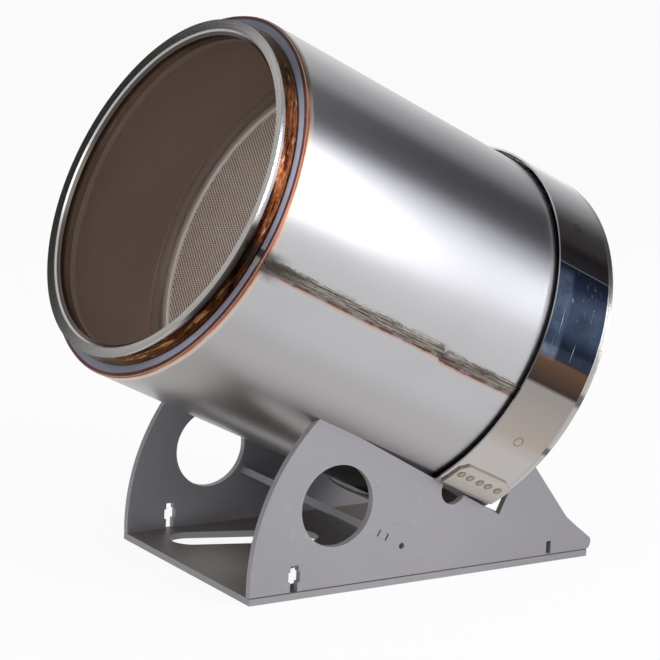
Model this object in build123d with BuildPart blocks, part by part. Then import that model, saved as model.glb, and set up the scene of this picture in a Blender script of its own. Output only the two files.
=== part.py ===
from build123d import *
from math import asin, atan2, cos, degrees, radians, sin, sqrt
import os

os.makedirs("parts", exist_ok=True)

# Frame: millimetres, +Z up, origin at the centre of the base underside.
# The canister's inlet looks towards -X and upwards; the near side is -Y.

# Substrate and shell
substrate_radius = 152.4
mat_gap = 7.0
shell_wall = 1.6
shell_length = 345.2
shell_chamfer = 1.1
seal_length = 8.0
retainer_sheet = 1.5
retainer_overlap = 4.3
retainer_length = 11.4

# Inlet end, with stations counted along the axis from the inlet face
flange_setback = 11.6
flange_rim = 2.4
flange_slope = 4.2
groove_depth = 6.2
flange_depth = 9.6
flange_wall = 5.7
bore_chamfer = 3.8
face_dish = 1.3
neck_length = 7.0
neck_lip = 1.5
neck_flare = 7.4
end_ring_depth = 5.4
end_ring_bevel = 1.3
shell_setback = 1.0
inlet_hollow = 133.4
outlet_hollow = 41.6

# Seam weld along the shell
seam_angle = 100.8
seam_width = 9.5
seam_height = 1.0
seam_setback = 1.9

# Outlet end and polished band
rear_ring_sheet = 5.8
spigot_length = 8.0
spigot_wall = 3.4
band_wall = 1.6
band_gap = 3.6
band_width = 60.1

# Band feet
foot_sheet = 2.0
foot_height = 29.0
foot_gap = 4.0
foot_front_margin = 4.8
foot_rear_margin = 0.7
foot_front_corner = (5.9, 7.5)
foot_rear_corner = (9.6, 5.8)
spot_radius = 2.5
spot_facets = 12
spot_height = 0.3
spot_rise = 3.3
spot_setbacks = (6.5, 16.7, 28.7, 38.5, 50.1)

# Cradle
base_length = 354.0
base_width = 212.0
sheet = 6.0
tilt = 25.4
inlet_reach = 38.5
rear_clearance = 19.8

base_slot_width = 39.0
base_slot_front = (45.0, 66.0)
base_slot_rear = (136.5, 35.5)

front_arc_radius = 186.9
rail_front_station = 168.0
rail_rise = 2.7
rail_rear_gap = 16.2
rail_drop = 3.9
ear_height = 38.6
ear_top_run = 11.8
ear_top_rise = 14.8
ear_rear = (26.0, 39.5)
tail_top = (17.0, 32.0)
tail_nose = (-3.0, 16.6)
tail_nose_radius = 9.0

big_hole = (82.5, 76.4)
big_hole_radius = 35.3
small_hole = (150.2, 33.7)
small_hole_radius = 2.75
notch_radius = 12.7
notch_station = 327.0
notch_drop = 1.0
foot_groove = (1.2, 0.9)
key_slot_x = 42.8
key_slot_steps = [(7.4, 9.0), (11.4, 9.0), (8.0, 5.5)]
rear_slot = (310.0, 13.2)
rear_slot_size = (5.0, 11.6)

cross_bar_station = 276.1
cross_bar_gap = 22.0
cross_bar_width = 32.0
cross_bar_slope = 28.7
tenon_width = 8.0
tenon_clearance = 0.1
tenon_end_gap = 1.4

# Radii that follow from the sizes above
shell_inner = substrate_radius + mat_gap
shell_radius = shell_inner + shell_wall
flange_radius = shell_radius - flange_setback
groove_radius = flange_radius - groove_depth
bore_radius = groove_radius - flange_wall
neck_bore_radius = bore_radius + neck_lip
neck_top_radius = groove_radius + neck_flare
lip_radius = substrate_radius - retainer_overlap
band_inner = shell_radius + band_gap
band_radius = band_inner + band_wall
foot_radius = band_radius + foot_sheet

# Stations that follow from the sizes above
end_ring_station = flange_depth + neck_length
shell_start = end_ring_station + shell_setback
shell_end = shell_start + shell_length
band_start = shell_end - band_width
rear_ring_end = shell_end + rear_ring_sheet
outlet_face = rear_ring_end + flange_depth
substrate_start = inlet_hollow
substrate_end = outlet_face - outlet_hollow
foot_start = band_start + foot_front_margin
foot_end = rear_ring_end - foot_rear_margin

# The canister's place over the cradle
half_width = base_width / 2
inner_half = half_width - sheet
lift = band_radius * cos(radians(tilt)) + rear_ring_end * sin(radians(tilt))
face_center = Vector(-base_length / 2 - inlet_reach, 0, sheet + rear_clearance + lift)
along = Vector(cos(radians(tilt)), 0, -sin(radians(tilt)))
outward = Vector(sin(radians(tilt)), 0, cos(radians(tilt)))
canister_axis = Axis(face_center, along)
profile_plane = Plane(origin=face_center, x_dir=along, z_dir=(0, -1, 0))


def station_plane(s):
    return Plane(origin=face_center + along * s, x_dir=(0, -1, 0), z_dir=along)


def around(radius, angle):
    return (radius * sin(radians(angle)), -radius * cos(radians(angle)))


def side_plane(y):
    return Plane(origin=(-base_length / 2, y, 0), x_dir=(1, 0, 0), z_dir=(0, -1, 0))


def under_axis(s, depth):
    point = face_center + along * s - outward * depth
    return (point.X + base_length / 2, point.Z)


def saddle_depth(radius):
    return sqrt(radius**2 - half_width**2)


cross_bar_place = under_axis(cross_bar_station, band_radius + cross_bar_gap)


def ring_profile(points):
    with BuildSketch(profile_plane) as outline:
        with BuildLine():
            Polyline(points, close=True)
        make_face()
    revolve(outline.sketch, axis=canister_axis)


def tube(start, end, inner, outer):
    ring_profile([(start, inner), (start, outer), (end, outer), (end, inner)])


def cut_round(radius, start, end):
    with BuildSketch(station_plane(start)) as disc:
        Circle(radius)
    extrude(disc.sketch, amount=end - start, mode=Mode.SUBTRACT)


# Flange: machined ring with a V-shaped back and a chamfered mouth, its face dished or flat
def flange_profile(face, reach, dish):
    ring_profile([
        (face + reach * dish, bore_radius + bore_chamfer),
        (face, flange_radius),
        (face + reach * flange_rim, flange_radius),
        (face + reach * (flange_rim + flange_slope), groove_radius),
        (face + reach * flange_depth, groove_radius),
        (face + reach * flange_depth, bore_radius),
        (face + reach * (dish + bore_chamfer), bore_radius),
    ])


with BuildPart() as inlet_flange:
    flange_profile(0, 1, face_dish)

with BuildPart() as outlet_flange:
    flange_profile(outlet_face, -1, 0)

# Inlet neck: short flared piece between the flange and the end ring
with BuildPart() as inlet_neck:
    ring_profile([
        (flange_depth, neck_bore_radius),
        (flange_depth, groove_radius),
        (end_ring_station - neck_lip, neck_top_radius),
        (end_ring_station, neck_top_radius),
        (end_ring_station, neck_bore_radius),
    ])

# Inlet end ring closing the shell round the neck
with BuildPart() as inlet_end_ring:
    ring_profile([
        (end_ring_station, neck_bore_radius),
        (end_ring_station, shell_inner - end_ring_bevel),
        (shell_start, shell_inner),
        (end_ring_station + end_ring_depth, shell_inner),
        (end_ring_station + end_ring_depth, neck_bore_radius),
    ])

# Weld bead joining the end ring and the shell's front edge
with BuildPart() as inlet_edge_weld:
    ring_profile([
        (end_ring_station, shell_inner - end_ring_bevel),
        (end_ring_station, shell_inner + shell_wall / 3),
        (shell_start, shell_radius - shell_chamfer),
        (shell_start, shell_inner),
    ])

# Shell: long rolled sheet cylinder, its front edge broken
with BuildPart() as shell:
    ring_profile([
        (shell_start, shell_inner),
        (shell_start, shell_radius - shell_chamfer),
        (shell_start + shell_chamfer, shell_radius),
        (shell_end, shell_radius),
        (shell_end, shell_inner),
    ])

# Seam weld: low bead along the shell's near side
with BuildPart() as shell_seam_weld:
    half_seam = degrees(seam_width / 2 / shell_radius)
    first = around(shell_radius, seam_angle - half_seam)
    last = around(shell_radius, seam_angle + half_seam)
    with BuildSketch(station_plane(shell_start + seam_setback)):
        with BuildLine():
            ThreePointArc(first, around(shell_radius + seam_height, seam_angle), last)
            ThreePointArc(last, around(shell_radius, seam_angle), first)
        make_face()
    extrude(amount=shell_length - seam_setback)


# Retainer ring: angle section, its lip against the substrate's face
def retainer_profile(station, reach):
    ring_profile([
        (station, lip_radius),
        (station, shell_inner),
        (station + reach * retainer_length, shell_inner),
        (station + reach * retainer_length, shell_inner - retainer_sheet),
        (station + reach * retainer_sheet, shell_inner - retainer_sheet),
        (station + reach * retainer_sheet, lip_radius),
    ])


with BuildPart() as front_retainer_ring:
    retainer_profile(substrate_start, -1)

with BuildPart() as rear_retainer_ring:
    retainer_profile(substrate_end, 1)

# Wire mesh seals at both ends of the mat
with BuildPart() as front_mesh_seal:
    tube(substrate_start, substrate_start + seal_length, substrate_radius, shell_inner)

with BuildPart() as rear_mesh_seal:
    tube(substrate_end - seal_length, substrate_end, substrate_radius, shell_inner)

# Swelling mat between the substrate and the shell
with BuildPart() as support_mat:
    mat_start = substrate_start + seal_length
    tube(mat_start, substrate_end - seal_length, substrate_radius, shell_inner)

# Ceramic substrate
with BuildPart() as substrate:
    with BuildSketch(station_plane(substrate_start)):
        Circle(substrate_radius)
    extrude(amount=substrate_end - substrate_start)

# Outlet end ring: a spigot inside the shell, shell and band seated on its face
with BuildPart() as outlet_end_ring:
    ring_profile([
        (shell_end - spigot_length, shell_inner - spigot_wall),
        (shell_end - spigot_length, shell_inner),
        (shell_end, shell_inner),
        (shell_end, band_radius),
        (rear_ring_end, band_radius),
        (rear_ring_end, neck_bore_radius),
        (shell_end, neck_bore_radius),
        (shell_end, shell_inner - spigot_wall),
    ])

# Polished band round the rear of the shell
with BuildPart() as holding_band:
    tube(band_start, shell_end, band_inner, band_radius)

# Foot angles: the low edge stands a gap above the side plate's outer face
face_angle = 180 - degrees(asin(half_width / band_radius))
low_angle = face_angle - degrees(foot_gap / band_radius)
middle_angle = low_angle - degrees(foot_height / 2 / band_radius)

foot_direction = outward * cos(radians(middle_angle)) - Vector(0, 1, 0) * sin(radians(middle_angle))
foot_plane = Plane(origin=face_center, x_dir=along, z_dir=foot_direction)

# Band foot: curved doubler on the band just above the side plate's rail
with BuildPart() as band_foot_near:
    half_height = foot_height / 2
    with BuildSketch(foot_plane):
        with BuildLine():
            Polyline(
                (foot_start, -half_height),
                (foot_start, half_height - foot_front_corner[1]),
                (foot_start + foot_front_corner[0], half_height),
                (foot_end - foot_rear_corner[0], half_height),
                (foot_end, half_height - foot_rear_corner[1]),
                (foot_end, -half_height),
                close=True,
            )
        make_face()
    extrude(amount=foot_radius + foot_sheet)
    with BuildSketch(station_plane(foot_start)):
        Circle(foot_radius)
        Circle(band_radius, mode=Mode.SUBTRACT)
    extrude(amount=foot_end - foot_start, mode=Mode.INTERSECT)

with BuildPart() as band_foot_far:
    mirror(band_foot_near.part, about=Plane.XZ)

# Foot spots: row of low spot welds along the foot
with BuildPart() as foot_spots_near:
    with BuildSketch(foot_plane):
        with Locations([(foot_start + setback, spot_rise) for setback in spot_setbacks]):
            RegularPolygon(spot_radius, spot_facets)
    extrude(amount=foot_radius + spot_height)
    cut_round(foot_radius, foot_start, foot_end)

with BuildPart() as foot_spots_far:
    mirror(foot_spots_near.part, about=Plane.XZ)

# Base plate with its two slanted slots
with BuildPart() as base_plate:
    with BuildSketch():
        Rectangle(base_length, base_width)
        for side in (1, -1):
            front = Vector(base_slot_front[0] - base_length / 2, side * base_slot_front[1])
            rear = Vector(base_slot_rear[0] - base_length / 2, side * base_slot_rear[1])
            slant = degrees(atan2(rear.Y - front.Y, rear.X - front.X))
            with Locations((front + rear) * 0.5):
                SlotCenterToCenter(
                    (rear - front).length, base_slot_width, rotation=slant, mode=Mode.SUBTRACT
                )
    extrude(amount=sheet)

# Side plate: stands on the base with a groove along its foot, its rail cut to the canister's round
with BuildPart() as side_plate_near:
    foot_corner = (0, sheet)
    rail_front = under_axis(rail_front_station, saddle_depth(shell_radius) - rail_rise)
    rail_depth = saddle_depth(band_radius) + rail_drop
    ear_station = rear_ring_end + rail_rear_gap
    rail_rear = under_axis(ear_station, rail_depth)
    ear_front = under_axis(ear_station, rail_depth - ear_height)
    ear_top = under_axis(ear_station + ear_top_run, rail_depth - ear_height - ear_top_rise)
    ear_foot = (base_length - ear_rear[0], ear_rear[1])
    tail_knee = (base_length - tail_top[0], tail_top[1])
    nose = (base_length - tail_nose[0], tail_nose[1])
    heel = (base_length, sheet)
    with BuildSketch(side_plane(-inner_half)):
        with BuildLine():
            RadiusArc(foot_corner, rail_front, front_arc_radius)
            Polyline(rail_front, rail_rear, ear_front)
            TangentArc(ear_front, ear_top, tangent=Vector(*ear_front) - Vector(*rail_rear))
            Polyline(ear_top, ear_foot, tail_knee, nose)
            RadiusArc(nose, heel, tail_nose_radius)
            Line(heel, foot_corner)
        make_face()
        with Locations(big_hole):
            Circle(big_hole_radius, mode=Mode.SUBTRACT)
        with Locations(small_hole):
            Circle(small_hole_radius, mode=Mode.SUBTRACT)
        with Locations(under_axis(notch_station, saddle_depth(band_radius) + notch_drop)):
            Circle(notch_radius, mode=Mode.SUBTRACT)
        step_foot = sheet
        for step_width, step_height in key_slot_steps:
            with Locations((key_slot_x, step_foot + step_height / 2)):
                Rectangle(step_width, step_height, mode=Mode.SUBTRACT)
            step_foot += step_height
        with Locations(rear_slot):
            Rectangle(*rear_slot_size, mode=Mode.SUBTRACT)
        with Locations(cross_bar_place):
            Rectangle(
                tenon_width + 2 * tenon_end_gap,
                sheet + 2 * tenon_clearance,
                rotation=-cross_bar_slope,
                mode=Mode.SUBTRACT,
            )
    extrude(amount=sheet)
    with BuildSketch(Plane.YZ):
        with Locations((-half_width, sheet)):
            Rectangle(2 * foot_groove[0], 2 * foot_groove[1])
    extrude(amount=base_length, both=True, mode=Mode.SUBTRACT)
    cut_round(shell_radius, shell_start, band_start)
    cut_round(band_radius, band_start, rear_ring_end)

with BuildPart() as side_plate_far:
    mirror(side_plate_near.part, about=Plane.XZ)

# Cross bar: flat strip between the side plates, a tenon through each
with BuildPart() as cross_bar:
    for width, reach in ((cross_bar_width, inner_half), (tenon_width, half_width)):
        with BuildSketch(side_plane(0)):
            with Locations(cross_bar_place):
                Rectangle(width, sheet, rotation=-cross_bar_slope)
        extrude(amount=reach, both=True)

pieces = {
    "inlet_flange": inlet_flange,
    "inlet_neck": inlet_neck,
    "inlet_end_ring": inlet_end_ring,
    "inlet_edge_weld": inlet_edge_weld,
    "shell": shell,
    "shell_seam_weld": shell_seam_weld,
    "front_retainer_ring": front_retainer_ring,
    "front_mesh_seal": front_mesh_seal,
    "support_mat": support_mat,
    "substrate": substrate,
    "rear_mesh_seal": rear_mesh_seal,
    "rear_retainer_ring": rear_retainer_ring,
    "outlet_end_ring": outlet_end_ring,
    "outlet_flange": outlet_flange,
    "holding_band": holding_band,
    "band_foot_near": band_foot_near,
    "band_foot_far": band_foot_far,
    "foot_spots_near": foot_spots_near,
    "foot_spots_far": foot_spots_far,
    "side_plate_near": side_plate_near,
    "side_plate_far": side_plate_far,
    "base_plate": base_plate,
    "cross_bar": cross_bar,
}
for name, piece in pieces.items():
    piece.part.label = name
    export_step(piece.part, f"parts/{name}.step")
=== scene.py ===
import bpy
import random
from math import cos, pi, radians, sin
from mathutils import Matrix, Quaternion, Vector


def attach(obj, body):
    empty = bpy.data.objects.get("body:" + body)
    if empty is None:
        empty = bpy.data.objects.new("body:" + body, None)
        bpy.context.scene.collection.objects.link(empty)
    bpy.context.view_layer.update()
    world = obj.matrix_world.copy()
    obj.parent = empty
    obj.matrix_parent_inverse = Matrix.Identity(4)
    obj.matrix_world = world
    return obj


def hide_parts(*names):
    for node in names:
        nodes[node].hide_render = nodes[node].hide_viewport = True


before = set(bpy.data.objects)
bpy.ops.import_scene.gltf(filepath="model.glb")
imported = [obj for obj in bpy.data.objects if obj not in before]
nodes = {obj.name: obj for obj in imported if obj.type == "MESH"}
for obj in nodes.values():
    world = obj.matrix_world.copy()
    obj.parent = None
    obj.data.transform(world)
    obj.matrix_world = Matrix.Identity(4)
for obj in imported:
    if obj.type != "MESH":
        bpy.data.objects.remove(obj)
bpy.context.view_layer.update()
random.seed(12)

# The canister's axis in the part's frame, in metres. Stations count along the axis from the
# inlet face, and angles round it from the top towards the near side.
TILT = radians(25.4)
FACE = Vector((-0.2155, 0.0, 0.33404))
ALONG = Vector((cos(TILT), 0.0, -sin(TILT)))
OUTWARD = Vector((sin(TILT), 0.0, cos(TILT)))
ACROSS = Vector((0.0, -1.0, 0.0))

# Stations and radii are in millimetres, angles in degrees
MILLIMETRES = 1000
FLANGE_RADIUS = 149.4
SHELL_RADIUS = 161.0
SHELL_START = 17.6
SHELL_END = 362.8
BAND_RADIUS = 166.2
SUBSTRATE_START = 133.4
SUBSTRATE_END = 336.6
SUBSTRATE_RADIUS = 152.4
SEAM_ANGLE = 100.8
SEAM_HALF = 5.2
SEAM_STEP = (214, 217)
SEAM_STEP_WIDTH = 2.4
FOOT_START = 307.5
FOOT_LOW_ANGLE = 139.0
SPOT_ANGLE = 132.9
SPOT_STATIONS = [314.0, 324.2, 336.2, 346.0, 357.6]

# The sockets of a colour mix, which share their names with those of other types
MIX_MASK, MIX_BELOW, MIX_ABOVE, MIX_RESULT = 0, 6, 7, 2


def on_canister(station, radius, angle):
    turn = radians(angle)
    from_axis = (OUTWARD * cos(turn) + ACROSS * sin(turn)) * radius
    return FACE + (ALONG * station + from_axis) / MILLIMETRES


def arc_length(angle, radius):
    """Millimetres round the canister, for an angle that is a number or a wire."""
    return angle * (radius * pi / 180)


class Wire:
    """A shader socket that can be used in sums."""

    def __init__(self, home, socket):
        self.home = home
        self.socket = socket

    def maths(self, operation, *terms):
        return self.home.node("Math", dict(operation=operation), dict(enumerate(terms)))

    def __add__(self, other):
        return self.maths("ADD", self, other)

    __radd__ = __add__

    def __sub__(self, other):
        return self.maths("SUBTRACT", self, other)

    def __rsub__(self, other):
        return self.maths("SUBTRACT", other, self)

    def __mul__(self, other):
        return self.maths("MULTIPLY", self, other)

    __rmul__ = __mul__

    def __truediv__(self, other):
        return self.maths("DIVIDE", self, other)

    def __pow__(self, other):
        return self.maths("POWER", self, other)

    def __abs__(self):
        return self.maths("ABSOLUTE", self)

    def root(self):
        return self.maths("SQRT", self)

    def least(self, other):
        return self.maths("MINIMUM", self, other)

    def most(self, other):
        return self.maths("MAXIMUM", self, other)

    def turn_from(self, other):
        """The angle in degrees, from the direction of other towards the direction of self."""
        return self.maths("ARCTAN2", self, other) * (180 / pi)

    def rise(self, low, high):
        """0 below low, 1 above high, smooth between; low above high falls instead."""
        ends = (low, high, 0.0, 1.0) if low < high else (high, low, 1.0, 0.0)
        settings = dict(interpolation_type="SMOOTHSTEP")
        return self.home.node("MapRange", settings, dict(enumerate((self, *ends))))

    def near(self, value, reach, fade):
        """1 within reach of value, 0 past reach + fade."""
        return abs(self - value).rise(reach + fade, reach)


class Nodes:
    """The shader nodes of one material or world."""

    def __init__(self, holder, output):
        holder.use_nodes = True
        self.tree = holder.node_tree
        self.tree.nodes.clear()
        self.output = self.tree.nodes.new("ShaderNode" + output)

    def node(self, kind, settings, sockets, out=0):
        made = self.tree.nodes.new("ShaderNode" + kind)
        for key, value in settings.items():
            if key == "stops":
                fill_ramp(made.color_ramp, value)
            else:
                setattr(made, key, value)
        for key, value in sockets.items():
            if isinstance(value, Wire):
                self.tree.links.new(value.socket, made.inputs[key])
            else:
                made.inputs[key].default_value = value
        return Wire(self, made.outputs[out])

    def show(self, shader):
        self.tree.links.new(shader.socket, self.output.inputs["Surface"])

    def emission(self, colour, strength=1.0):
        return self.node("Emission", {}, {"Color": rgba(colour), "Strength": strength})

    def showing(self):
        """1 for rays that show the studio: to the camera, off metal and through glass."""
        camera, glossy, through = [self.node("LightPath", {}, {}, out="Is " + ray + " Ray")
                                   for ray in ("Camera", "Glossy", "Transmission")]
        return camera.most(glossy).most(through)


class Finish(Nodes):
    """One material of the filter or the studio, with the marks that several finishes share."""

    def __init__(self, name):
        self.material = bpy.data.materials.new(name)
        self.cache = {}
        super().__init__(self.material, "OutputMaterial")

    def shared(self, key, make):
        if key not in self.cache:
            self.cache[key] = make()
        return self.cache[key]

    @property
    def place(self):
        return self.shared("place", lambda: self.node("TexCoord", {}, {}, out="Object"))

    @property
    def station(self):
        return self.shared("station", lambda: self.along_axis(ALONG))

    @property
    def height(self):
        return self.shared("height", lambda: self.along_axis(OUTWARD))

    @property
    def side(self):
        return self.shared("side", lambda: self.along_axis(ACROSS))

    @property
    def radius(self):
        return self.shared("radius", lambda: (self.height**2 + self.side**2).root())

    @property
    def angle(self):
        return self.shared("angle", lambda: self.side.turn_from(self.height))

    def along_axis(self, axis):
        """Millimetres from the middle of the inlet face, along one of the canister's axes."""
        offset = self.vector("SUBTRACT", self.place, FACE)
        return self.vector("DOT_PRODUCT", offset, axis * MILLIMETRES, out="Value")

    def vector(self, operation, first, second, out=0):
        return self.node("VectorMath", dict(operation=operation), {0: first, 1: second}, out=out)

    def triple(self, x, y, z):
        return self.node("CombineXYZ", {}, {0: x, 1: y, 2: z})

    def single(self, vector, axis):
        return self.node("SeparateXYZ", {}, {0: vector}, out=axis)

    def turned(self, fine, coarse):
        """Coordinates for marks that run round the canister."""
        return self.triple(self.station * fine, self.height * coarse, self.side * coarse)

    def drawn(self, fine, coarse):
        """Coordinates for marks that run along the canister."""
        return self.triple(self.station * coarse, self.height * fine, self.side * fine)

    def noise(self, scale, detail, rough, where=None):
        return self.node("TexNoise", {}, {
            "Vector": where or self.place, "Scale": scale, "Detail": detail, "Roughness": rough})

    def marks(self, where, detail, rough):
        """Noise over coordinates that are stretched already."""
        return self.noise(1.0, detail, rough, where)

    def ring_mark(self, station, angle, size, width):
        """A ring stamped or burnt at that station and angle, on both sides alike."""
        arc = arc_length(abs(self.angle) - angle, BAND_RADIUS)
        reach = ((self.station - station) ** 2 + arc**2).root()
        return reach.near(size, width / 2, width / 2)

    def ramp(self, value, *stops):
        return self.node("ValToRGB", dict(stops=stops), {0: value})

    def mix(self, mask, below, above, blend="MIX"):
        settings = dict(data_type="RGBA", blend_type=blend)
        sockets = {MIX_MASK: mask, MIX_BELOW: rgba(below), MIX_ABOVE: rgba(above)}
        return self.node("Mix", settings, sockets, out=MIX_RESULT)

    def bump(self, height, depth, strength):
        return self.node("Bump", {}, {"Height": height, "Distance": depth, "Strength": strength})

    def done(self, colour, roughness, normal, metallic=1.0):
        self.show(self.node("BsdfPrincipled", {}, {
            "Base Color": colour, "Roughness": roughness, "Metallic": metallic, "Normal": normal}))
        return self.material


def rgba(colour):
    if isinstance(colour, tuple):
        return (*colour, 1.0)
    return colour


def fill_ramp(ramp, stops):
    while len(ramp.elements) < len(stops):
        ramp.elements.new(0.5)
    for element, (position, colour) in zip(ramp.elements, stops):
        element.position = position
        element.color = rgba(colour)


def seen(red, green, blue):
    """A colour as it looks on a screen, 0 to 255, as the shader's own numbers."""
    return tuple((v / 255 / 12.92) if v < 11 else ((v / 255 + 0.055) / 1.055) ** 2.4
                 for v in (red, green, blue))


# ---- finishes ----
def brushed_shell():
    f = Finish("brushed_shell")
    lines = f.marks(f.turned(2.6, 0.012), 4, 0.6)
    broad = f.noise(9.0, 3, 0.5)
    smudge = f.noise(28.0, 4, 0.6)
    steel = f.mix(lines.rise(0.3, 0.7), seen(186, 185, 188), seen(190, 189, 192))
    steel = f.mix(broad.rise(0.45, 0.75) * 0.35, steel, seen(178, 175, 177))
    steel = f.mix(smudge.rise(0.6, 0.8) * 0.2, steel, seen(168, 162, 158))
    # painted shade low down on the shell, towards the cradle's rails
    painted_shade_low = f.angle.rise(112, 124) + f.angle.rise(126, 138)
    steel = f.mix(painted_shade_low * 0.35, steel, seen(146, 140, 138))
    # a painted dark reflection in a band along the shell's upper side
    painted_dark_band = f.angle.near(50, 4, 9)
    steel = f.mix(painted_dark_band * 0.7, steel, seen(112, 109, 114))
    # heat tint behind the front weld: brown line, rose, straw, then bare steel
    back = f.station - SHELL_START + f.noise(30.0, 3, 0.6) * 2.4 - 1.2
    tint = f.ramp(back / 6,
                  (0.0, seen(112, 58, 46)), (0.18, seen(168, 108, 88)),
                  (0.34, seen(202, 164, 142)), (0.52, seen(206, 188, 172)),
                  (0.8, seen(196, 190, 184)), (1.0, seen(188, 187, 190)))
    shaded_tint = f.ramp(back / 8,
                 (0.0, seen(52, 34, 30)), (0.3, seen(84, 66, 58)),
                 (0.6, seen(122, 108, 100)), (1.0, seen(184, 182, 184)))
    # over the top the tint turns into a darker copy of itself, painted shade
    top = f.angle.rise(52, 44) * f.angle.rise(-60, -40)
    steel = f.mix(back.rise(6.4, 5.0), steel, f.mix(top * 0.85, tint, shaded_tint))
    # heat tint beside the seam weld, tighter and patchy on its upper side
    arc = arc_length(f.angle - SEAM_ANGLE, SHELL_RADIUS)
    arc = arc - f.station.rise(*SEAM_STEP) * SEAM_STEP_WIDTH
    ragged = abs(arc) - SEAM_HALF + (f.noise(60.0, 4, 0.7) * 3.6 - 1.8)
    halo = f.ramp(ragged * (arc.rise(1, -1) * 1.6 + 1) / 9,
                  (0.0, seen(104, 92, 88)), (0.06, seen(72, 42, 38)), (0.14, seen(140, 92, 76)),
                  (0.26, seen(184, 160, 146)), (0.45, seen(186, 184, 188)))
    outside = f.radius.rise(SHELL_RADIUS - 0.8, SHELL_RADIUS - 0.4)
    patchy = f.marks(f.drawn(0.02, 0.06), 3, 0.6).rise(0.42, 0.6)
    seam = ragged.rise(5, 2.5) * outside * f.station.rise(17, 22)
    steel = f.mix(seam * (arc.rise(-1, 1) * 0.7 + patchy * 0.3), steel, halo)
    soot = (abs(arc) + f.noise(80.0, 4, 0.7) * 12 - 6).rise(15, 5)
    steel = f.mix(soot * f.station.rise(48, 18) * outside * 0.85, steel, seen(70, 62, 60))
    # dull inside
    inside = f.radius.rise(SHELL_RADIUS - 0.6, SHELL_RADIUS - 1.1)
    wiped = f.marks(f.turned(0.8, 0.02), 4, 0.7)
    dull = f.mix(f.noise(14.0, 3, 0.6), seen(168, 154, 147), seen(186, 171, 163))
    dull = f.mix(wiped.rise(0.35, 0.7) * 0.22, dull, seen(156, 138, 128))
    steel = f.mix(inside, steel, dull)
    rough = 0.27 + lines * 0.04 + smudge.rise(0.55, 0.8) * 0.04 + inside * 0.12
    return f.done(steel, rough, f.bump(lines, 0.00002, 0.15))


def turned_flange():
    f = Finish("turned_flange")
    rings = f.marks(f.triple(f.radius * 2.2, f.station * 2.2, f.angle * 0.012), 4, 0.7)
    cloud = f.noise(22.0, 4, 0.6)
    steel = f.mix(rings.rise(0.25, 0.75), seen(140, 138, 138), seen(212, 209, 206))
    steel = f.mix(cloud.rise(0.5, 0.8) * 0.4, steel, seen(160, 150, 140))
    # painted shade over the mouth's chamfer, so that only its outer edge stays bright
    mouth = f.radius.rise(140.1, 139.6) * f.station.rise(12, 9)
    steel = f.mix(mouth * 0.92, steel, seen(62, 52, 47))
    heat = f.station.rise(6.8, 9.4) * f.station.rise(60, 30)
    steel = f.mix(heat * 0.7, steel, seen(150, 122, 104))
    # a painted highlight on the rim's lit flank, and a painted dark reflection on the rim where the
    # seam weld ends
    behind_face = f.station - (FLANGE_RADIUS - f.radius) * 0.17
    rim = f.radius.rise(141, 142) * behind_face.rise(0.15, 0.4) * f.station.rise(40, 20)
    painted_rim_highlight = rim * f.angle.rise(30, 45) * f.angle.rise(100, 94)
    steel = f.mix(painted_rim_highlight * 0.8, steel, seen(246, 246, 244))
    rim_dark_reflection = rim * f.angle.rise(89, 94) * f.angle.rise(136, 126)
    steel = f.mix(rim_dark_reflection * 0.92, steel, seen(56, 48, 44))
    # painted shade on the front face, darker away from its top
    face = behind_face.rise(0.3, 0.1) * f.radius.rise(141, 141.6)
    steel = f.mix(face * abs(f.angle).rise(20, 60) * 0.5, steel, seen(138, 134, 126))
    stains = f.angle.near(96, 1.0, 2.0) + f.angle.near(114, 0.6, 1.4)
    steel = f.mix(stains * f.station.rise(300, 320) * 0.75, steel, seen(60, 52, 50))
    rough = 0.15 + rings * 0.12 + cloud * 0.05
    return f.done(steel, rough, f.bump(rings, 0.00012, 0.4))


INSIDE_STEEL = seen(158, 144, 134)


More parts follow.
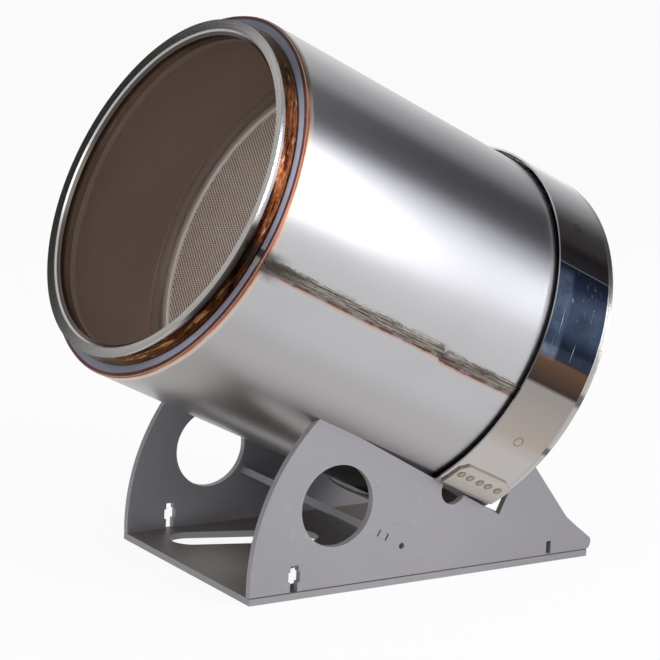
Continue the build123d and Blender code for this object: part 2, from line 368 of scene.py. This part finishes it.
def tinted_neck():
    f = Finish("tinted_neck")
    streak = f.marks(f.turned(0.6, 0.04), 4, 0.62)
    patch = f.noise(24.0, 4, 0.65)
    glint_and_grain = f.marks(f.turned(0.8, 0.05), 3, 0.6)
    colour = f.ramp(streak.rise(0.28, 0.72) * 0.8 + patch.rise(0.3, 0.7) * 0.2,
                    (0.05, seen(24, 12, 10)), (0.3, seen(66, 34, 20)),
                    (0.45, seen(138, 80, 48)), (0.55, seen(78, 42, 24)),
                    (0.72, seen(162, 106, 74)), (0.9, seen(70, 50, 46)))
    # painted glints along the streaks; the same noise also roughens the bump
    colour = f.mix(glint_and_grain.rise(0.6, 0.68) * 0.7, colour, seen(222, 188, 164))
    olive = f.angle.rise(122, 140) + f.angle.rise(50, 35)
    colour = f.mix(olive.least(1.0) * 0.5, colour, seen(84, 66, 38))
    # painted light and shade round the neck: a painted highlight beside the lit flank, painted shade
    # over the top and just below the seam
    shade = f.ramp(f.angle / 360 + 0.5,
                   (0.05, seen(170, 160, 150)), (0.42, seen(120, 112, 108)),
                   (0.6, seen(126, 118, 110)), (0.65, seen(244, 240, 236)),
                   (0.71, seen(236, 230, 226)), (0.76, seen(180, 172, 166)),
                   (0.79, seen(120, 116, 114)), (0.85, seen(140, 130, 122)),
                   (0.92, seen(190, 180, 172)))
    colour = f.mix(1.0, colour, shade, "MULTIPLY")
    # a painted highlight along the middle of the neck, low on its near side
    lit = f.station.near(12.2, 0.3, 1.3) * f.angle.rise(108, 126) * glint_and_grain.rise(0.48, 0.6)
    colour = f.mix(lit * 0.45, colour, seen(214, 158, 108))
    # painted shade where the neck meets the ring and under the flange's back
    root = f.station.rise(14.6, 16.2) + f.station.rise(9.4, 8.2)
    colour = f.mix(root.least(1.0) * 0.75, colour, seen(50, 26, 20))
    soot = abs((f.angle - SEAM_ANGLE) + (patch * 8 - 4)).rise(5, 2)
    colour = f.mix(soot * 0.85, colour, seen(36, 30, 28))
    colour = f.mix(f.radius.rise(139.8, 139.3), colour, INSIDE_STEEL)
    return f.done(colour, 0.14 + streak * 0.2, f.bump(streak + glint_and_grain * 0.4, 0.0006, 0.8))


def blued_ring():
    f = Finish("blued_ring")
    streak = f.marks(f.turned(0.9, 0.03), 4, 0.6)
    patch = f.noise(18.0, 3, 0.6)
    colour = f.mix(streak, seen(188, 194, 222), seen(222, 224, 238))
    colour = f.mix(patch.rise(0.5, 0.75) * 0.5, colour, seen(204, 192, 194))
    top = f.angle.near(0, 32, 32)
    colour = f.mix(top * 0.85, colour, seen(104, 108, 122))
    bottom = abs(f.angle).rise(138, 165)
    colour = f.mix(bottom * 0.7, colour, seen(136, 138, 152))
    ragged = f.radius + patch * 2.0 - 1.0
    edge = ragged.rise(157.0, 157.8)
    colour = f.mix(edge * 0.9, colour, seen(74, 32, 26))
    root = ragged.rise(151.4, 150.7)
    colour = f.mix(root * 0.8, colour, seen(60, 38, 30))
    bright_bead = abs(f.angle - SEAM_ANGLE - 0.6).rise(1.9, 1.0)
    colour = f.mix(bright_bead * 0.7, colour, seen(226, 214, 196))
    crossing = abs(f.angle - SEAM_ANGLE + 1.6).rise(1.8, 0.8)
    colour = f.mix(crossing * 0.85, colour, seen(40, 34, 32))
    colour = f.mix(f.radius.rise(140.2, 139.4), colour, INSIDE_STEEL)
    return f.done(colour, 0.46 + patch * 0.12, f.bump(streak, 0.0002, 0.4), metallic=0.8)


def edge_weld():
    f = Finish("edge_weld")
    ripple = f.noise(330.0, 3, 0.6)
    crust = f.noise(90.0, 5, 0.7)
    colour = f.mix(crust, seen(88, 46, 38), seen(170, 110, 92))
    colour = f.mix(ripple.rise(0.6, 0.85) * 0.6, colour, seen(236, 190, 168))
    # painted shade, darker over the top
    top = f.angle.rise(52, 40) * f.angle.rise(-60, -40)
    colour = f.mix(top * 0.75, colour, seen(66, 42, 36))
    return f.done(colour, 0.36 + crust * 0.25, f.bump(ripple, 0.0004, 0.7), metallic=0.9)


def inner_sheet():
    f = Finish("inner_sheet")
    cloud = f.noise(17.0, 4, 0.6)
    lines = f.marks(f.turned(1.2, 0.02), 3, 0.6)
    # dull like the wall at its outer edge, lightened towards the lip by a painted reflection of the
    # substrate, with a painted highlight on the lip
    substrate_reflection = f.radius.rise(157.8, 149.5)
    dull = f.mix(cloud, seen(150, 136, 129), seen(166, 153, 146))
    colour = f.mix(substrate_reflection, dull, seen(206, 200, 198))
    colour = f.mix(lines.rise(0.4, 0.7) * 0.25, colour, seen(186, 180, 178))
    lip_highlight = f.radius.rise(149.6, 148.9)
    colour = f.mix(lip_highlight, colour, seen(255, 252, 250))
    metallic = 1 - substrate_reflection * 0.6 - lip_highlight * 0.35
    return f.done(colour, 0.34 + cloud * 0.14, f.bump(lines, 0.0001, 0.4), metallic)


def knitted_seal():
    f = Finish("knitted_seal")
    settings = dict(feature="DISTANCE_TO_EDGE")
    loops = f.node("TexVoronoi", settings, {"Vector": f.place, "Scale": 900.0})
    colour = f.mix(loops.rise(0.02, 0.2), seen(80, 76, 74), seen(170, 166, 162))
    return f.done(colour, 0.42, f.bump(loops, 0.0005, 0.8))


def fibre_mat():
    f = Finish("fibre_mat")
    fibres = f.noise(700.0, 6, 0.75)
    colour = f.mix(fibres, seen(196, 184, 158), seen(232, 224, 204))
    return f.done(colour, 0.9, f.bump(fibres, 0.0006, 0.8), metallic=0.0)


def cell_ceramic():
    f = Finish("cell_ceramic")
    grain = f.noise(1500.0, 4, 0.6)
    cloud = f.noise(13.0, 4, 0.6)
    colour = f.mix(cloud, seen(208, 189, 178), seen(226, 208, 198))
    colour = f.mix(grain.rise(0.45, 0.75) * 0.4, colour, seen(172, 151, 140))
    # painted shade down the cells, behind both end faces
    front = f.station.rise(SUBSTRATE_START + 0.01, SUBSTRATE_START + 0.2)
    rear = f.station.rise(SUBSTRATE_END - 0.01, SUBSTRATE_END - 0.2)
    within = f.radius.rise(SUBSTRATE_RADIUS - 0.2, SUBSTRATE_RADIUS - 0.6)
    colour = f.mix(front * rear * within, colour, seen(22, 14, 12))
    return f.done(colour, 0.88, f.bump(grain, 0.0002, 0.5), metallic=0.0)


def polished_band():
    f = Finish("polished_band")
    scratch = f.marks(f.turned(2.4, 0.02), 2, 0.5)
    nick = f.marks(f.turned(0.34, 0.05), 5, 0.75)
    colour = f.mix(scratch, seen(212, 213, 218), seen(228, 228, 232))
    # zones of painted reflection with heat tint in them, from the top round to the feet
    reflection_and_tint_zones = f.ramp(f.angle / 140,
                  (0.0, seen(216, 216, 218)), (0.171, seen(192, 191, 195)),
                  (0.257, seen(196, 194, 196)), (0.32, seen(168, 162, 160)),
                  (0.36, seen(168, 160, 154)), (0.385, seen(104, 96, 92)),
                  (0.423, seen(84, 80, 84)), (0.427, seen(38, 46, 66)),
                  (0.471, seen(52, 62, 86)), (0.507, seen(96, 112, 134)),
                  (0.564, seen(92, 108, 130)), (0.6, seen(38, 46, 66)),
                  (0.629, seen(34, 38, 52)), (0.633, seen(92, 66, 46)),
                  (0.689, seen(50, 36, 32)), (0.695, seen(146, 140, 138)),
                  (0.814, seen(168, 158, 150)), (0.857, seen(184, 179, 176)))
    near_side = f.radius.rise(BAND_RADIUS - 0.6, BAND_RADIUS - 0.3)
    colour = f.mix(near_side * 0.98, colour, reflection_and_tint_zones)
    line = f.angle.near(59.5, 0.12, 0.12) * near_side
    colour = f.mix(line * 0.8, colour, seen(210, 206, 204))
    mark = f.ring_mark(334, 115, 4.2, 0.5) + f.ring_mark(329, 44, 3.4, 1.4) * 0.5
    colour = f.mix(mark.least(1.0), colour, seen(120, 86, 64))
    # a painted sheen on the band's front strip
    painted_sheen = f.marks(f.turned(0.3, 0.03), 4, 0.7) * f.station.rise(322, 318)
    painted_sheen = painted_sheen * f.angle.rise(60, 64) * f.angle.rise(90, 86) * near_side
    colour = f.mix(painted_sheen * 0.8, colour, seen(158, 176, 204))
    mottle = f.noise(40.0, 4, 0.7).rise(0.4, 0.65)
    mottle = mottle * f.angle.rise(60, 62) * f.angle.rise(88, 86) * near_side
    colour = f.mix(mottle * 0.4, colour, seen(34, 42, 60))
    handled = f.angle.rise(100, 96) * 0.9 + 0.1
    long_mark = f.marks(f.turned(0.9, 0.018), 1, 0.5).rise(0.74, 0.78) * f.angle.rise(60, 64)
    worn = (nick.rise(0.63, 0.7) + long_mark).least(1.0) * handled
    colour = f.mix(worn * 0.6, colour, seen(226, 228, 232))
    rough = 0.07 + scratch * 0.05 + worn * 0.14
    return f.done(colour, rough, f.bump(scratch, 0.00003, 0.3))


def foot_steel():
    f = Finish("foot_steel")
    cloud = f.noise(20.0, 4, 0.6)
    lines = f.marks(f.drawn(1.4, 0.03), 3, 0.6)
    colour = f.mix(cloud, seen(176, 170, 163), seen(200, 195, 190))
    colour = f.mix(lines.rise(0.4, 0.7) * 0.3, colour, seen(160, 154, 148))
    front_edge = f.station.rise(FOOT_START + 1.2, FOOT_START + 0.3)
    low_edge = abs(f.angle).rise(FOOT_LOW_ANGLE - 0.9, FOOT_LOW_ANGLE - 0.2)
    colour = f.mix((front_edge + low_edge).least(1.0) * 0.5, colour, seen(96, 84, 76))
    burnt = sum(f.ring_mark(station, SPOT_ANGLE, 3.0, 1.2) for station in SPOT_STATIONS)
    colour = f.mix(burnt.least(1.0) * 0.7, colour, seen(104, 72, 54))
    return f.done(colour, 0.34 + cloud * 0.1, f.bump(lines, 0.0001, 0.4))


def spot_weld():
    f = Finish("spot_weld")
    ripple = f.noise(330.0, 3, 0.6)
    colour = f.mix(ripple, seen(170, 158, 146), seen(206, 198, 190))
    dimple = sum(f.ring_mark(station, SPOT_ANGLE, 1.5, 0.7) for station in SPOT_STATIONS)
    colour = f.mix(dimple.least(1.0) * 0.6, colour, seen(120, 94, 78))
    return f.done(colour, 0.36 + ripple * 0.2, f.bump(ripple, 0.0004, 0.7))


def cradle_paint():
    f = Finish("cradle_paint")
    orange_peel = f.noise(420.0, 2, 0.5)
    cloud = f.noise(7.0, 4, 0.6)
    dust = f.noise(60.0, 5, 0.7)
    colour = f.mix(cloud, seen(142, 140, 146), seen(153, 151, 156))
    colour = f.mix(dust.rise(0.58, 0.8) * 0.35, colour, seen(176, 175, 176))
    upright = f.vector("MULTIPLY", f.place, (60.0, 60.0, 420.0))
    scuff = f.marks(upright, 2, 0.5).rise(0.7, 0.76)
    colour = f.mix(scuff * 0.4, colour, seen(112, 109, 112))
    # painted shade, the cradle darker towards the rear
    shaded_rear = f.single(f.place, "X").rise(-0.05, 0.2)
    colour = f.mix(shaded_rear * 0.5, colour, seen(118, 116, 121))
    # a painted shadow over the base plate's top, under the canister
    base_top_shadow = f.single(f.place, "Z").near(0.006, 0.0002, 0.0002)
    colour = f.mix(base_top_shadow * 0.85, colour, seen(112, 104, 98))
    return f.done(colour, 0.42 + dust * 0.12, f.bump(orange_peel, 0.00008, 0.35), metallic=0.25)


FINISHES = {
    brushed_shell(): ["shell"],
    turned_flange(): ["inlet_flange", "outlet_flange", "outlet_end_ring"],
    tinted_neck(): ["inlet_neck"],
    blued_ring(): ["inlet_end_ring"],
    edge_weld(): ["inlet_edge_weld"],
    inner_sheet(): ["front_retainer_ring", "rear_retainer_ring"],
    knitted_seal(): ["front_mesh_seal", "rear_mesh_seal"],
    fibre_mat(): ["support_mat"],
    polished_band(): ["holding_band"],
    foot_steel(): ["band_foot_near", "band_foot_far"],
    spot_weld(): ["foot_spots_near", "foot_spots_far"],
    cradle_paint(): ["side_plate_near", "side_plate_far", "base_plate", "cross_bar"],
}
for material, names in FINISHES.items():
    for name in names:
        slots = nodes[name].data.materials
        slots.clear()
        slots.append(material)


def new_object(name, points, faces, material):
    mesh = bpy.data.meshes.new(name)
    mesh.from_pydata(points, [], faces)
    mesh.materials.append(material)
    mesh.update()
    made = bpy.data.objects.new(name, mesh)
    bpy.context.scene.collection.objects.link(made)
    return made


def add_piece(name, points, faces, material, replaced):
    piece = new_object(name, points, faces, material)
    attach(piece, "root")
    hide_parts(replaced)
    return piece


# ---- honeycomb end faces ----
PITCH = 2.0
WALL = 0.3
GRID_TURN = radians(10.5)
CELL_DEPTH = 4.0
CELL_REACH = 149.4
RIM_REACH = 146.0
RIM_DEPTH = 0.06
RIM_STEPS = 96


def honeycomb(name, station, inward, side_end, material):
    """One end face with its open cells, and the substrate's side up to side_end behind it."""
    points = []
    faces = []
    mouths = {}

    def put(a, b, depth):
        u = a * cos(GRID_TURN) - b * sin(GRID_TURN)
        v = a * sin(GRID_TURN) + b * cos(GRID_TURN)
        deep = ALONG * (station + inward * depth)
        points.append(FACE + (deep + OUTWARD * v + ACROSS * u) / MILLIMETRES)
        return len(points) - 1

    def face(*corners):
        faces.append(corners if inward > 0 else corners[::-1])

    count = int(CELL_REACH / PITCH) + 1
    cells = [(i, j) for i in range(-count, count) for j in range(-count, count)]
    near, far = WALL / 2, PITCH - WALL / 2
    for i, j in cells:
        u, v = i * PITCH, j * PITCH
        reach = max(abs(u), abs(u + PITCH)) ** 2 + max(abs(v), abs(v + PITCH)) ** 2
        if (i + j) % 2 or reach > CELL_REACH**2:
            continue
        square = [(u + near, v + near), (u + far, v + near), (u + far, v + far), (u + near, v + far)]
        mouth = [put(a, b, 0.0) for a, b in square]
        plug = [put(a, b, CELL_DEPTH) for a, b in square]
        mouths[i, j] = mouth
        for k in range(4):
            face(mouth[k], plug[k], plug[k - 3], mouth[k - 3])
        face(*plug[::-1])
    # the closed cells between, and the walls round them
    for i, j in cells:
        around = [(i, j - 1), (i + 1, j), (i, j + 1), (i - 1, j)]
        if (i + j) % 2 and all(cell in mouths for cell in around):
            below, right, above, left = [mouths[cell] for cell in around]
            face(above[0], left[2], left[1], below[3], below[2], right[0], right[3], above[1])
    rings = []
    for radius, depth in ((RIM_REACH, RIM_DEPTH), (SUBSTRATE_RADIUS, RIM_DEPTH),
                          (SUBSTRATE_RADIUS, side_end)):
        turns = [2 * pi * k / RIM_STEPS for k in range(RIM_STEPS)]
        rings.append([put(radius * sin(turn), radius * cos(turn), depth) for turn in turns])
    for inner, outer in zip(rings, rings[1:]):
        for k in range(RIM_STEPS):
            face(inner[k - 1], outer[k - 1], outer[k], inner[k])
    add_piece(name, points, faces, material, "substrate")


ceramic = cell_ceramic()
half_length = (SUBSTRATE_END - SUBSTRATE_START) / 2
honeycomb("cell_face_front", SUBSTRATE_START, 1, half_length, ceramic)
honeycomb("cell_face_rear", SUBSTRATE_END, -1, half_length, ceramic)


# ---- seam weld, dressed down to a low streaky strip ----
def seam_metal():
    f = Finish("seam_metal")
    streak = f.marks(f.drawn(0.5, 0.02), 4, 0.65)
    fine = f.marks(f.drawn(1.3, 0.025), 3, 0.6)
    colour = f.ramp(streak.rise(0.3, 0.7),
                    (0.0, seen(64, 56, 52)), (0.3, seen(118, 112, 108)),
                    (0.5, seen(158, 151, 140)), (0.7, seen(126, 122, 119)),
                    (1.0, seen(88, 79, 74)))
    colour = f.mix(fine.rise(0.54, 0.68) * 0.6, colour, seen(190, 184, 174))
    colour = f.mix(fine.rise(0.46, 0.36) * 0.8, colour, seen(54, 45, 41))
    blued = f.station.near(218.5, 1.0, 4.0) * fine.rise(0.35, 0.55)
    colour = f.mix(blued * 0.6, colour, seen(96, 104, 124))
    burnt = f.marks(f.drawn(0.16, 0.03), 3, 0.6).rise(0.46, 0.58) * f.station.near(242, 24, 22)
    colour = f.mix(burnt * 0.7, colour, seen(64, 50, 44))
    sooty_start = f.station.rise(90, 26)
    colour = f.mix(sooty_start * 0.85, colour, seen(58, 50, 47))
    return f.done(colour, 0.3 + streak * 0.2, f.bump(streak + fine * 0.6, 0.0006, 0.8))


ROWS_PER_MILLIMETRE = 1.25
BEAD_COLUMNS = 14
BEAD_SINK = 0.04
BEAD_HEIGHT = 0.62
RIPPLE_HEIGHT = 0.1
RIPPLE_BOW = 1.6
RIPPLE_STEP = 0.55
RIPPLE_SPREAD = 0.2
GRAIN_HEIGHT = 0.03
WANDER_KEPT = 0.88
WANDER_SPREAD = 0.3
BLUNT_END = 0.25
TAPER_LENGTH = 5


def seam_strip(name, start, end, low, high):
    """One run of the bead, its ends tapered, between two arc distances from the seam's middle."""
    points = []
    faces = []
    ripple = 0.0
    wander = [0.0, 0.0]
    rows = int((end - start) * ROWS_PER_MILLIMETRE)
    for k in range(rows + 1):
        station = start + (end - start) * k / rows
        ripple += RIPPLE_STEP + random.uniform(-RIPPLE_SPREAD, RIPPLE_SPREAD)
        wander = [WANDER_KEPT * w + random.uniform(-WANDER_SPREAD, WANDER_SPREAD) for w in wander]
        taper = min(1.0, BLUNT_END + (station - start) / TAPER_LENGTH,
                    BLUNT_END + (end - station) / TAPER_LENGTH)
        middle, half = (low + high) / 2, (high - low) / 2 * taper
        for c in range(BEAD_COLUMNS + 1):
            t = 2 * c / BEAD_COLUMNS - 1
            # flat across, falling only at its edges
            crown = (1 - t**6) * (0.76 + 0.14 * t * t)
            wave = BEAD_HEIGHT + RIPPLE_HEIGHT * sin(ripple + RIPPLE_BOW * t * t)
            height = crown * wave + GRAIN_HEIGHT * random.random()
            arc = middle + t * half + wander[0] * (1 - t) / 2 + wander[1] * (1 + t) / 2
            points.append(on_canister(station, SHELL_RADIUS - BEAD_SINK + height,
                                      SEAM_ANGLE + arc / SHELL_RADIUS * 180 / pi))
    row = BEAD_COLUMNS + 1
    for k in range(rows):
        for c in range(BEAD_COLUMNS):
            a = k * row + c
            faces.append((a, a + row, a + row + 1, a + 1))
    piece = add_piece(name, points, faces, bead, "shell_seam_weld")
    for polygon in piece.data.polygons:
        polygon.use_smooth = True


bead = seam_metal()
seam_strip("seam_front_run", SHELL_START + 1.9, 216.0, -4.9, 4.3)
seam_strip("seam_rear_run", 214.5, SHELL_END - 0.1, -2.6, 6.6)

# ---- studio ----
WHITE = (1.0, 1.0, 1.0)
FLOOR = 30.0
FLOOR_SHADE_KEPT = 0.1
MIDDLE = Vector((-0.03, 0.0, 0.26))
SCREEN_DISTANCE = 2.6
SCREEN_STEPS = 24
AMBIENT = 0.6


def floor_finish():
    """Shows white to the camera and to metal, and keeps a part of its own shade."""
    f = Finish("studio_floor")
    lit = f.node("BsdfDiffuse", {}, {"Color": rgba((0.9, 0.9, 0.9))})
    factor = f.showing() * (1 - FLOOR_SHADE_KEPT)
    f.show(f.node("MixShader", {}, {0: factor, 1: lit, 2: f.emission(WHITE)}))
    return f.material


def direction(azimuth, elevation):
    """Azimuth from +X towards +Y, elevation above the floor, in degrees."""
    a, e = radians(azimuth), radians(elevation)
    return Vector((cos(a) * cos(e), sin(a) * cos(e), sin(e)))


def staged(name, corners, material):
    card = new_object(name, corners, [tuple(range(len(corners)))], material)
    return card


def only_in_reflections(card):
    card.visible_camera = False
    card.visible_diffuse = False
    card.visible_shadow = False
    card.visible_transmission = False


def dark_card(name, azimuths, elevations, shade):
    """A flat card that darkens one side of the canister's reflections."""
    f = Finish(name)
    f.show(f.emission(shade))
    (left, right), (low, high) = azimuths, elevations
    corners = [MIDDLE + direction(azimuth, elevation) * SCREEN_DISTANCE for azimuth, elevation in (
        (left, low), (right, low), (right, high), (left, high))]
    only_in_reflections(staged(name, corners, f.material))


def shaded_screen(name, azimuths, elevations, stops):
    """A curved screen whose glow runs through the stops, each an azimuth and a colour."""
    low, high = azimuths
    top = SCREEN_DISTANCE * sin(radians(elevations[1]))

    def across(azimuth):
        return (azimuth - low) / (high - low)

    f = Finish(name)
    offset = f.vector("SUBTRACT", f.place, MIDDLE)
    azimuth = f.single(offset, "Y").turn_from(f.single(offset, "X"))
    glow = f.ramp(across(azimuth), *((across(stop), shade) for stop, shade in stops))
    f.show(f.emission(f.mix(f.single(offset, "Z").rise(top * 0.8, top), glow, WHITE)))
    rows = [[MIDDLE + direction(low + (high - low) * k / SCREEN_STEPS, e) * SCREEN_DISTANCE
             for k in range(SCREEN_STEPS + 1)] for e in elevations]
    above = SCREEN_STEPS + 1
    faces = [(k, k + 1, above + k + 1, above + k) for k in range(SCREEN_STEPS)]
    screen = new_object(name, rows[0] + rows[1], faces, f.material)
    only_in_reflections(screen)


def softbox(name, azimuth, elevation, distance, size, power, lean=0.0):
    data = bpy.data.lights.new(name, "AREA")
    data.shape = "RECTANGLE"
    data.size, data.size_y = size
    data.energy = power
    lamp = bpy.data.objects.new(name, data)
    lamp.location = MIDDLE + direction(azimuth, elevation) * distance
    lamp.rotation_mode = "QUATERNION"
    facing = direction(azimuth, elevation).to_track_quat("Z", "Y")
    lamp.rotation_quaternion = facing @ Quaternion((0, 0, 1), radians(lean))
    bpy.context.scene.collection.objects.link(lamp)


square = [(-FLOOR, -FLOOR, 0), (FLOOR, -FLOOR, 0), (FLOOR, FLOOR, 0), (-FLOOR, FLOOR, 0)]
staged("floor", square, floor_finish())
dark_card("studio_card_rear", (120, 168), (-5, 48), (0.04, 0.04, 0.043))
dark_card("studio_card_front", (-128, -90), (-5, 30), (0.08, 0.08, 0.085))
shaded_screen("studio_screen", (-60, 44), (-5.5, 44), [
    (-60, WHITE), (-55, (0.36, 0.39, 0.46)), (-25, (0.3, 0.33, 0.4)),
    (-18, (0.14, 0.14, 0.16)), (-11, (0.07, 0.07, 0.075)), (-2, (0.07, 0.07, 0.075)),
    (6, (0.1, 0.1, 0.105)), (14, (0.23, 0.23, 0.235)), (22, (0.42, 0.42, 0.43)),
    (30, (0.62, 0.62, 0.63)), (38, (0.8, 0.8, 0.81)), (44, WHITE)])
softbox("key_softbox", -64, 30, distance=2.4, size=(0.9, 0.6), power=18)
softbox("strip_softbox", -50.5, 17, distance=2.1, size=(0.21, 1.5), power=9, lean=-34)
softbox("low_softbox", -31.5, 4.0, distance=2.1, size=(0.2, 0.8), power=4.6, lean=-40)
softbox("fill_softbox", -150, 35, distance=3.0, size=(1.6, 1.6), power=16)

world = bpy.data.worlds.new("studio_world")
bpy.context.scene.world = world
sky = Nodes(world, "OutputWorld")
strength = sky.showing() * (1 - AMBIENT) + AMBIENT
sky.show(sky.node("Background", {}, {"Color": rgba(WHITE), "Strength": strength}))

# ---- camera at the photograph's angle ----
LOOK_AZIMUTH, LOOK_ELEVATION = -33.98, 11.76
LOOK_ROLL = radians(3.0)
CAMERA_PLACE = Vector((-1.2673, -1.8208, 0.6578))
SENSOR_WIDTH = 36.0
PICTURE_WIDTH = 660
FOCAL_PIXELS = 2589.9

back = direction(LOOK_AZIMUTH - 90, LOOK_ELEVATION)
right = direction(LOOK_AZIMUTH, 0)
up = back.cross(right)
rolled_right = right * cos(LOOK_ROLL) + up * sin(LOOK_ROLL)
rolled_up = up * cos(LOOK_ROLL) - right * sin(LOOK_ROLL)
camera_data = bpy.data.cameras.new("camera")
camera_data.sensor_width = SENSOR_WIDTH
camera_data.lens = FOCAL_PIXELS / PICTURE_WIDTH * SENSOR_WIDTH
camera = bpy.data.objects.new("camera", camera_data)
bpy.context.scene.collection.objects.link(camera)
turn = Matrix((rolled_right, rolled_up, back)).transposed().to_4x4()
camera.matrix_world = Matrix.Translation(CAMERA_PLACE) @ turn
bpy.context.scene.camera = camera
bpy.context.scene.view_settings.view_transform = "Standard"
